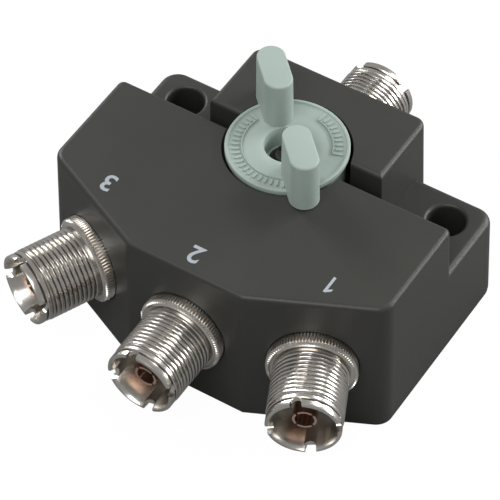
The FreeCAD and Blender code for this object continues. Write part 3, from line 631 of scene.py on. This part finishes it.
def raised_bar(outline):
    """A low raised bar on the sunken band, with sloping sides, from its closed outline."""
    maker = bmesh.new()
    floor = DISC_TOP - BAND_DEPTH
    count = len(outline)
    centre = Vector((sum(x for x, y in outline) / count, sum(y for x, y in outline) / count))
    rows = []
    for z, shrink in ((floor - RIB_ROOT, 0.0), (floor, 0.0), (floor + RIB_HEIGHT, RIB_TAPER)):
        row = []
        for x, y in outline:
            inwards = (centre - Vector((x, y))).normalized() * shrink
            row.append(maker.verts.new((x + inwards.x, y + inwards.y, z)))
        rows.append(row)
    for first, second in zip(rows, rows[1:]):
        for i in range(count):
            j = (i + 1) % count
            maker.faces.new((first[i], first[j], second[j], second[i]))
    maker.faces.new(rows[-1])
    maker.faces.new(list(reversed(rows[0])))
    bmesh.ops.recalc_face_normals(maker, faces=maker.faces)
    return as_mesh(maker, "bar")


def radial_bar(angle, inner, outer, width):
    """A raised bar that points away from the knob's centre."""
    middle = (inner + outer) / 2
    points = [(middle + x, y) for x, y in stadium(width, outer - inner, 4)]
    turn = Matrix.Rotation(angle, 2)
    return raised_bar([tuple(turn @ Vector(point)) for point in points])


def arc_bar(start, end, radius, width, steps=40):
    """A raised line that follows the inner edge of the band."""
    angles = [start + (end - start) * i / steps for i in range(steps + 1)]
    edge = [(radius + width, a) for a in angles] + [(radius, a) for a in reversed(angles)]
    return raised_bar([(r * math.cos(a), r * math.sin(a)) for r, a in edge])


def moulded_green():
    """Satin moulded plastic with a fine sandblasted skin and a slight flow mottle."""
    plastic = Finish("grey_green_plastic", Specular_IOR_Level=0.4)
    skin = plastic.noise(4200.0, 2.0, 0.5)
    flow = plastic.noise(120.0, 4.0, 0.6)
    plastic.feed(Base_Color=plastic.mix(flow, srgb(142, 156, 149), srgb(153, 167, 160)),
                 Roughness=flow * 0.08 + skin * 0.08 + 0.42)
    plastic.bump(skin, 0.006 * MM)
    return plastic


knob_green = moulded_green()
knob_pieces = [knob_disc()]
for half_turn in (0, math.pi):
    wing = knob_wing()
    wing.transform(Matrix.Rotation(POINTER + half_turn, 4, "Z"))
    knob_pieces.append(wing)
for first, last in BAND_ARCS:
    start, end = math.radians(first), math.radians(last)
    ribs = round((end - start) / RIB_STEP)
    knob_pieces.append(arc_bar(start, end, BAND_INNER, BORDER_WIDTH))
    for i in range(ribs + 1):
        at_end = i in (0, ribs)
        inner = BAND_INNER + (0 if at_end else 2 * BORDER_WIDTH)
        outer = BAND_OUTER - END_RIB_MARGIN if at_end else inner + RIB_LENGTH
        knob_pieces.append(radial_bar(start + (end - start) * i / ribs, inner, outer, RIB_WIDTH))
knob_piece = finished("selector_knob", joined("selector_knob", knob_pieces), knob_green, "selector")
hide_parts("knob")

# Camera, light and floor.
# The camera stands where the photograph was taken from, and the floor and backdrop
# read as white paper that keeps the object's shadow.
AZIMUTH = math.radians(32.64)
ELEVATION = math.radians(49.26)
ROLL = math.radians(-0.62)
DISTANCE = 0.650
TARGET = Vector((8.37, -27.83, 36.1)) * MM
FOCAL_PIXELS = 3236.0
IMAGE_WIDTH = 500
SENSOR_WIDTH = 36.0
FARTHEST_SEEN = 10.0

towards_camera = Vector((math.sin(AZIMUTH) * math.cos(ELEVATION),
                         -math.cos(AZIMUTH) * math.cos(ELEVATION), math.sin(ELEVATION)))
level_right = Vector((0, 0, 1)).cross(towards_camera).normalized()
level_up = towards_camera.cross(level_right)
right = math.cos(ROLL) * level_right + math.sin(ROLL) * level_up
up = math.cos(ROLL) * level_up - math.sin(ROLL) * level_right
camera_data = bpy.data.cameras.new("camera")
camera_data.sensor_width = SENSOR_WIDTH
camera_data.lens = FOCAL_PIXELS / IMAGE_WIDTH * SENSOR_WIDTH
camera_data.clip_end = FARTHEST_SEEN
camera = bpy.data.objects.new("camera", camera_data)
camera.matrix_world = (Matrix.Translation(TARGET + towards_camera * DISTANCE)
                       @ Matrix((right, up, towards_camera)).transposed().to_4x4())
bpy.context.scene.collection.objects.link(camera)
bpy.context.scene.camera = camera


LAMP_TARGET = Vector((0, -5, 15)) * MM


def soft_box(name, place, size, power):
    """A rectangular lamp that faces the object."""
    light = bpy.data.lights.new(name, "AREA")
    light.shape = "RECTANGLE"
    light.size, light.size_y = size
    light.energy = power
    lamp = bpy.data.objects.new(name, light)
    lamp.location = place
    aim = LAMP_TARGET - Vector(place)
    lamp.rotation_euler = aim.to_track_quat("-Z", "Y").to_euler()
    bpy.context.scene.collection.objects.link(lamp)


soft_box("left_back_box", (-0.56, 0.17, 0.34), (0.20, 0.34), 2.1)
soft_box("right_back_box", (0.42, 0.49, 0.22), (0.60, 0.16), 4.2)
soft_box("front_box", (0.05, -0.45, 0.62), (0.5, 0.4), 3.0)
soft_box("top_back_box", (0.22, 0.42, 0.55), (0.2, 0.2), 1.3)

PAPER_SIZE = 3.0
PAPER_DROP = 0.1 * MM
GLOW_STRENGTH = 1.13
GLOW_SHARE = 0.86
floor_mesh = bpy.data.meshes.new("paper")
corner = PAPER_SIZE / 2
floor_mesh.from_pydata([(-corner, -corner, -PAPER_DROP), (corner, -corner, -PAPER_DROP),
                        (corner, corner, -PAPER_DROP), (-corner, corner, -PAPER_DROP)],
                       [], [(0, 1, 2, 3)])
floor = bpy.data.objects.new("paper_floor", floor_mesh)
bpy.context.scene.collection.objects.link(floor)
paper = Finish("white_paper", Roughness=0.9, Specular_IOR_Level=0.1, Base_Color=srgb(130, 130, 130))
dress(floor, paper)
seen_by_camera = paper.node("ShaderNodeLightPath", output="Is Camera Ray")
glow = paper.node("ShaderNodeEmission", inputs={"Strength": GLOW_STRENGTH})
matt = Wire(paper.tree, paper.shader.outputs[0])
blend = paper.node("ShaderNodeMixShader", inputs={0: seen_by_camera * GLOW_SHARE, 1: matt, 2: glow})
plug(paper.tree, paper.tree.nodes["Material Output"].inputs["Surface"], blend)

scene = bpy.context.scene
scene.view_settings.view_transform = "Standard"
world = bpy.data.worlds.new("studio")
scene.world = world
world.use_nodes = True
sky = world.node_tree
background = sky.nodes["Background"]
background.inputs["Color"].default_value = (1, 1, 1, 1)
camera_ray = add_node(sky, "ShaderNodeLightPath", output="Is Camera Ray")
glossy_ray = add_node(sky, "ShaderNodeLightPath", output="Is Glossy Ray")
AMBIENT = 0.42
MIRRORED = 0.32
plug(sky, background.inputs["Strength"],
     camera_ray * (1 - AMBIENT) - glossy_ray * (AMBIENT - MIRRORED) + AMBIENT)
